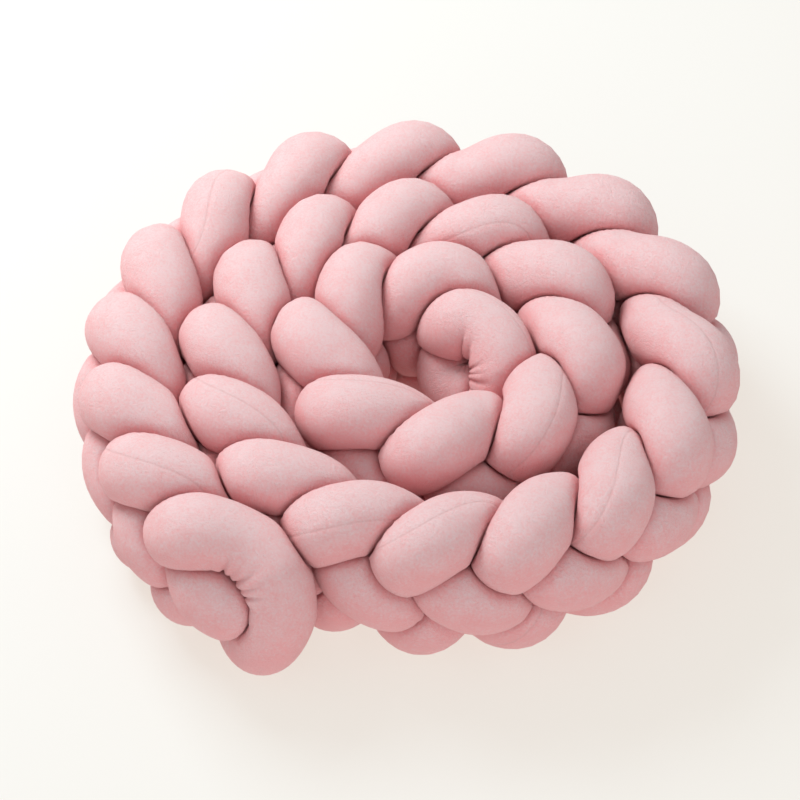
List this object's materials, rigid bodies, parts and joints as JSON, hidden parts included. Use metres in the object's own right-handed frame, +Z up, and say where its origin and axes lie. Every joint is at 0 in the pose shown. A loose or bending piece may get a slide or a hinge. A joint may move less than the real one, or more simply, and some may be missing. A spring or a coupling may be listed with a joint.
{
  "type": "crib bumper",
  "caption": "Stuffed velvet tubes plaited into a flat braid that stands on edge, coiled into a spiral, for lining the inside of a crib.",
  "frame": {"origin": "on the floor under the middle of the coil's bounding box", "axes": "+Z up, the braid standing on its edge; the outer end of the spiral lies towards -X and -Y"},
  "size_m": [0.6464, 0.6142, 0.1787],
  "materials": {
    "wrapping_tube": "matte velvet",
    "inner_tube": "matte velvet"
  },
  "bodies": {
    "root": {"wrapping_tube": "wrapping_tube", "inner_tube": "inner_tube"}
  },
  "joints": []
}
